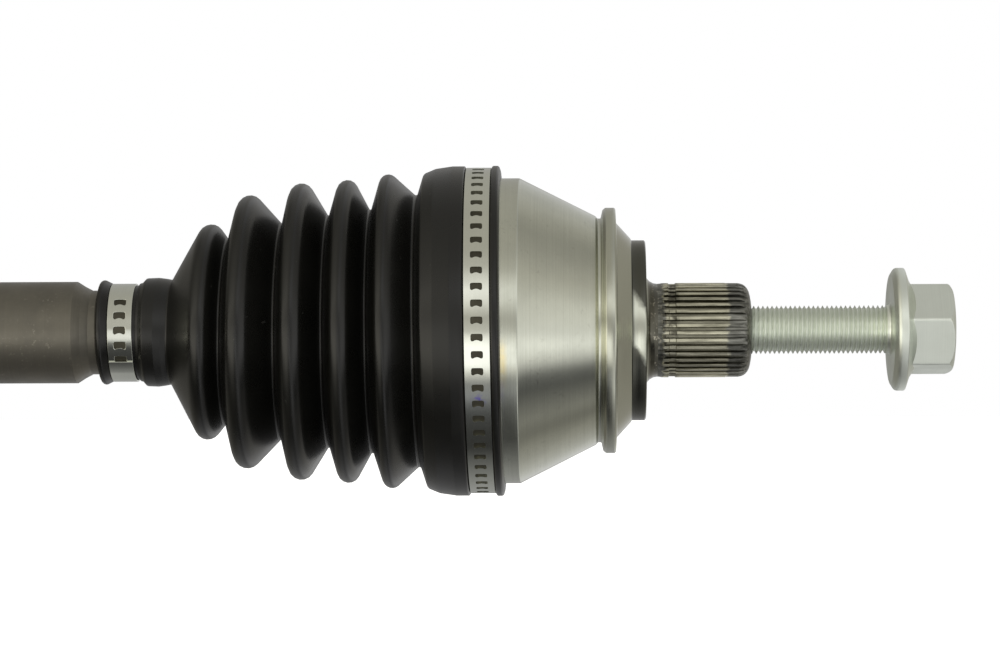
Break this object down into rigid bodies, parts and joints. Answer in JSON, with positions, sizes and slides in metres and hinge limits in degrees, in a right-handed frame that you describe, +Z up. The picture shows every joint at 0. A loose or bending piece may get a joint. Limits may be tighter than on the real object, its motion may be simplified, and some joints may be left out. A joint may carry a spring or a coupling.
{
  "type": "drive shaft",
  "caption": "Car drive shaft with a bell-shaped ball joint, splined stub and flange bolt at the wheel, two bellows boots, and a flanged tripod joint at the gearbox.",
  "frame": {"origin": "on the shaft's axis, mid-way along the ground seal seat behind the hub face", "axes": "+X along the shaft towards the wheel, +Z up with the boots' clamps closed on the far side, +Y away from the picture's viewer"},
  "size_m": [0.5844, 0.1131, 0.112],
  "materials": {
    "turned_steel": "turned, satin, faint heat tint",
    "hardened_steel": "ground, lightly greased",
    "polished_steel": "polished",
    "spring_steel": "phosphated and oiled",
    "zinc_plate": "bright zinc plate",
    "boot_elastomer": "satin moulded elastomer",
    "clamp_steel": "bright rolled stainless strip",
    "shaft_steel": "dark satin coating, lightly scuffed",
    "housing_steel": "forged, machined on its faces",
    "cap_steel": "pressed and zinc plated",
    "sleeve_plastic": "moulded"
  },
  "bodies": {
    "outer_joint": {"outer_joint_bell": "turned_steel", "outer_boot_large_clamp": "clamp_steel"},
    "cage": {"outer_cage": "hardened_steel", "outer_balls": "polished_steel"},
    "hub_bolt": {"hub_bolt": "zinc_plate"},
    "shaft": {"shaft_bar": "shaft_steel", "outer_inner_race": "hardened_steel", "outer_race_circlip": "spring_steel", "outer_dished_washer": "spring_steel", "outer_spacer_ring": "spring_steel", "outer_boot": "boot_elastomer", "outer_boot_small_clamp": "clamp_steel", "inner_spider": "hardened_steel", "inner_spider_circlip": "spring_steel", "roller_clips": "spring_steel", "inner_boot": "boot_elastomer", "inner_boot_small_clamp": "clamp_steel"},
    "roller_a": {"roller_a": "polished_steel", "needles_a": "polished_steel"},
    "roller_b": {"roller_b": "polished_steel", "needles_b": "polished_steel"},
    "roller_c": {"roller_c": "polished_steel", "needles_c": "polished_steel"},
    "inner_housing": {"inner_housing": "housing_steel", "inner_mouth_ring": "spring_steel", "inner_end_cap": "cap_steel", "inner_boot_sleeve": "sleeve_plastic", "inner_boot_large_clamp": "clamp_steel"}
  },
  "joints": [
    {"name": "outer_bend", "type": "hinge", "parent": "outer_joint", "child": "shaft", "pos_m": [-0.045, 0, 0], "axis": [0, 0, 1], "range_deg": [-45, 45], "deforming": ["outer_boot"]},
    {"name": "cage_half_bend", "type": "hinge", "parent": "outer_joint", "child": "cage", "pos_m": [-0.045, 0, 0], "axis": [0, 0, 1], "range_deg": [-22.6, 22.6]},
    {"name": "bolt_travel", "type": "slide", "parent": "outer_joint", "child": "hub_bolt", "axis": [1, 0, 0], "range_m": [-0.0415, 0.008]},
    {"name": "inner_bend", "type": "hinge", "parent": "shaft", "child": "roller_a", "pos_m": [-0.44, 0, 0], "axis": [0, 0, 1], "range_deg": [-15, 15], "deforming": ["inner_boot"]},
    {"name": "plunge", "type": "slide", "parent": "roller_a", "child": "inner_housing", "axis": [1, 0, 0], "range_m": [-0.012, 0.012], "deforming": ["inner_boot"]},
    {"name": "roller_b_roll", "type": "hinge", "parent": "shaft", "child": "roller_b", "pos_m": [-0.44, -0.02252, -0.013], "axis": [0, -0.866, -0.5], "range_deg": [-46, 46]},
    {"name": "roller_c_roll", "type": "hinge", "parent": "shaft", "child": "roller_c", "pos_m": [-0.44, 0.02252, -0.013], "axis": [0, 0.866, -0.5], "range_deg": [-46, 46]}
  ],
  "couplings": [
    {"joint": "cage_half_bend", "follows": "outer_bend", "ratio": 0.5},
    {"joint": "roller_b_roll", "follows": "plunge", "rad_per_m": 66.667},
    {"joint": "roller_c_roll", "follows": "plunge", "rad_per_m": 66.667}
  ]
}
